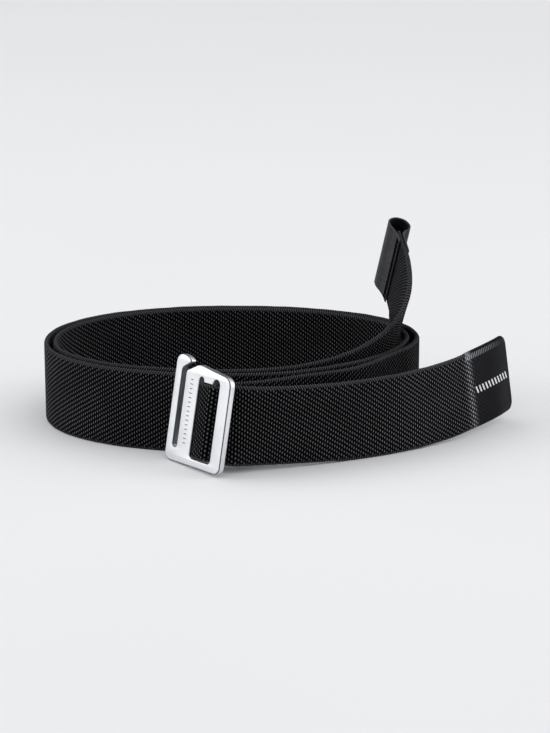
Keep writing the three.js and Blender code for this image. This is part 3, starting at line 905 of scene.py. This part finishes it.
MARKS = 15
MARK_MIDDLE = 12.9  # u of the row of marks
MARK_FIRST = 9.5  # v of the lowest
MARK_PITCH = 2.1
MARK_WIDTH, MARK_HEIGHT, MARK_DEPTH = 1.9, 0.42, 0.15
MARK_LEAN = 0.25


def add_buckle():
    """The plate with its middle bar, and a plain row of engraved marks that lean to alternate sides."""
    metal = steel_material("satin_metal", (0.86, 0.865, 0.88), (0.78, 0.79, 0.815))
    # the same satin metal in a dark copy: painted shade on the plate's front rounded rim and in the engraved
    # marks
    rim = steel_material("rim_painted_shade", (0.16, 0.18, 0.22), (0.11, 0.125, 0.155))
    vertices, faces, rim_faces = plate_solid()
    plate = mesh_object("buckle", vertices, faces, metal)
    plate.data.materials.append(rim)
    for face in rim_faces:
        plate.data.polygons[face].material_index = 1
    face_outwards(plate)
    cut_or_join(plate, mesh_object("bar", *bar_solid(), metal), "UNION")
    for i in range(MARKS):
        block = block_solid(MARK_MIDDLE, MARK_FIRST + i * MARK_PITCH, MARK_WIDTH, MARK_HEIGHT,
                            MARK_LEAN * (-1) ** i, MARK_DEPTH)
        # the marks' walls take the painted shade
        mark = mesh_object("mark", *block, metal)
        mark.data.materials.append(rim)
        for face in mark.data.polygons:
            face.material_index = 1
        cut_or_join(plate, mark, "DIFFERENCE")
    plate.data.shade_smooth()
    plate.data.set_sharp_from_angle(angle=math.radians(28))
    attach(plate, "buckle")
    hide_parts("buckle_plate")


# ---- Loop tab ----
TAB_THICKNESS = 0.8
TAB_GAP = 0.35
TAB_HALF_THICKNESS = 0.35
TAB_LEG = SEWN_THICKNESS / 2 + TAB_GAP + TAB_HALF_THICKNESS
BACK_LEG = TAB_LEG + 0.15
TAB_NARROWER = 0.2
TAB_STEPS = 150
TAB_FACE_STEPS = 66
TAB_EDGE_STEPS = 4
STITCH_ROWS = (1.6, 3.6)
STITCH_PITCH = 2.8
STITCH_COUNT = 13
tab_at, tab_along, tab_up, tab_out, _ = place_at(SEWN_LENGTH)


def on_tab(a, b, across):
    """Place of a point a from the front leg's edge toward the loop, b out from the web, and so far across."""
    return tab_at - tab_along * a - tab_out * b + tab_up * across


TAB_ROUTE = [
    (0, TAB_LEG), (4.5, TAB_LEG), (9, 2.3), (14, 3.7), (18, 3.1), (19.8, -0.4), (18.2, -4.4), (14, -6.3),
    (10.6, -5.2), (8.9, -2.9), (6.6, -BACK_LEG), (3, -BACK_LEG), (-2, -BACK_LEG), (-7.5, -BACK_LEG),
]
END_ROUNDING = 0.25
END_ROUNDING_LENGTH = 0.5
SEWN_REACH = 6.0  # mm along the legs over which the stitches pull them in
DIMPLE_REACH = 0.8
ROW_DEPTH = 0.05
HOLE_DEPTH = 0.07


def add_tab():
    """A strip folded into a teardrop loop, sewn through both legs, with dimples along the stitches."""
    path = catmull_rom(TAB_ROUTE, np.linspace(0, 1, TAB_STEPS))
    lengths = np.concatenate([[0], np.cumsum(np.linalg.norm(np.diff(path, axis=0), axis=1))])
    steps = np.gradient(path, axis=0)
    steps /= np.linalg.norm(steps, axis=1)[:, None]
    normal = np.stack([-steps[:, 1], steps[:, 0]], axis=1)
    to_end = np.stack([lengths, lengths[-1] - lengths])
    end_rounding = END_ROUNDING * np.sum(smooth(1 - to_end / END_ROUNDING_LENGTH), axis=0)
    width = WEB_WIDTH - TAB_NARROWER - 2 * end_rounding
    across, outward = strip_section(width, TAB_THICKNESS - end_rounding, TAB_FACE_STEPS, TAB_EDGE_STEPS)
    pulled = np.zeros_like(across)
    for row in STITCH_ROWS:
        closeness = np.exp(-(((path[:, 0] - row) / DIMPLE_REACH) ** 2))[:, None]
        hole = 0.5 + 0.5 * np.cos(2 * math.pi * (across / STITCH_PITCH + STITCH_COUNT / 2))
        pulled += closeness * (ROW_DEPTH + HOLE_DEPTH * hole)
    on_leg = (np.abs(path[:, 1]) < 2.2) & (path[:, 0] < SEWN_REACH)
    inwards = np.where(on_leg, -np.sign(path[:, 1]), 0)
    offset = outward + pulled * (inwards * normal[:, 1])[:, None]
    a = path[:, 0][:, None] + normal[:, 0][:, None] * offset
    b = path[:, 1][:, None] + normal[:, 1][:, None] * offset
    vertices = on_tab(a[..., None], b[..., None], across[..., None])
    uvs = np.stack([np.broadcast_to(lengths[:, None], across.shape), across], axis=-1)
    faces = rings_to_faces(*across.shape)
    tab = mesh_object("loop_tab_cloth", vertices.reshape(-1, 3), faces, coated_fabric_material(),
                      uvs.reshape(-1, 2))
    face_outwards(tab)
    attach(tab, "tail")
    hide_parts("loop_tab")


THREAD_RADIUS = 0.34
THREAD_SIDES = 8
STEPS_PER_STITCH = 10
THREAD_SINK = 0.32  # mm below the cloth's face at a hole
THREAD_LIFT = 0.44  # mm up from there at the middle of a stitch


def add_thread(name, a, side, replaced, material):
    """One row of stitches: the thread lies over each stitch and dives into the cloth at each hole."""
    face = (TAB_LEG if side > 0 else BACK_LEG) + TAB_THICKNESS / 2
    shares = np.arange(STITCH_COUNT * STEPS_PER_STITCH + 1) / STEPS_PER_STITCH
    dive = np.abs(np.sin(np.pi * shares)) ** 0.5
    heights = face - THREAD_SINK + THREAD_LIFT * dive
    across = (shares - STITCH_COUNT / 2) * STITCH_PITCH
    points = np.array([on_tab(a, side * h, w) for h, w in zip(heights, across)])
    steps = np.gradient(points, axis=0)
    steps /= np.linalg.norm(steps, axis=1)[:, None]
    sideways = np.cross(steps, tab_along)
    sideways /= np.linalg.norm(sideways, axis=1)[:, None]
    other = np.cross(steps, sideways)
    angles = np.linspace(0, 2 * math.pi, THREAD_SIDES, endpoint=False)
    rings = (points[:, None] + THREAD_RADIUS * (sideways[:, None] * np.cos(angles)[None, :, None]
             + other[:, None] * np.sin(angles)[None, :, None]))
    uvs = np.stack(np.broadcast_arrays(across[:, None], angles[None, :] / (2 * math.pi)), axis=-1)
    faces = rings_to_faces(len(points), THREAD_SIDES)
    thread = mesh_object(name, rings.reshape(-1, 3), faces, material, uvs.reshape(-1, 2))
    face_outwards(thread)
    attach(thread, "tail")
    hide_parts(replaced)


def add_threads():
    material = thread_material()
    for row, a in enumerate(STITCH_ROWS, start=1):
        add_thread(f"stitch_front_{row}", a, 1, f"needle_thread_{row}", material)
        add_thread(f"stitch_back_{row}", a, -1, f"bobbin_thread_{row}", material)


# ---- Floor and light ----
FLOOR_REACH = 14000.0


def add_floor():
    material, graph, shader = new_material("floor")
    tone = graph.spread(graph.noise(3.0), 0.3, 0.7, 0.885, 0.895)
    graph.feed(shader.inputs["Base Color"], graph.blend_colour(tone, (0.0, 0.0, 0.0), (1.0, 1.0, 1.0)))
    shader.inputs["Roughness"].default_value = 0.9
    shader.inputs["Specular IOR Level"].default_value = 0.1
    corners = FLOOR_REACH * np.array([(-1, -1, 0), (1, -1, 0), (1, 1, 0), (-1, 1, 0)])
    floor = mesh_object("floor", corners + FLOOR_MIDDLE, [(0, 1, 2, 3)], material, smooth_faces=False)


LIT_POINT = (0, 0, 0.03)


def add_light(name, place, size, power):
    """A soft box, placed in metres, that faces the object."""
    data = bpy.data.lights.new(name, "AREA")
    data.shape = "RECTANGLE"
    data.size, data.size_y = size
    data.energy = power
    light = bpy.data.objects.new(name, data)
    light.location = place
    light.rotation_euler = (Vector(LIT_POINT) - Vector(place)).to_track_quat("-Z", "Y").to_euler()
    bpy.context.scene.collection.objects.link(light)


def add_world():
    """A studio that is light overhead and at both sides, and dark in front and behind."""
    world = bpy.data.worlds.new("studio")
    world.use_nodes = True
    graph = Graph(world.node_tree)
    split = world.node_tree.nodes.new("ShaderNodeSeparateXYZ")
    direction = world.node_tree.nodes.new("ShaderNodeTexCoord").outputs["Generated"]
    world.node_tree.links.new(direction, split.inputs[0])
    sideways = graph.spread(graph.math("ABSOLUTE", split.outputs[0]), 0.5, 0.9)
    overhead = graph.spread(split.outputs[2], 0.35, 0.85)
    light = graph.math("MAXIMUM", sideways, overhead)
    background = world.node_tree.nodes["Background"]
    graph.feed(background.inputs["Color"], graph.blend_colour(light, (0.03, 0.03, 0.033), (0.97, 0.98, 1.0)))
    background.inputs["Strength"].default_value = 1.12
    bpy.context.scene.world = world


def add_lights():
    add_world()
    add_light("left_box", (-1.3, 0.1, 0.75), (0.7, 1.2), 2.5)
    add_light("right_box", (1.35, -0.1, 0.7), (0.7, 1.2), 2.5)
    add_light("top_box", (0.0, 0.35, 1.6), (1.6, 1.2), 1.5)


add_web()
add_tip()
add_print()
add_buckle()
add_tab()
add_threads()
add_floor()
add_lights()
bpy.context.scene.view_settings.view_transform = "Standard"
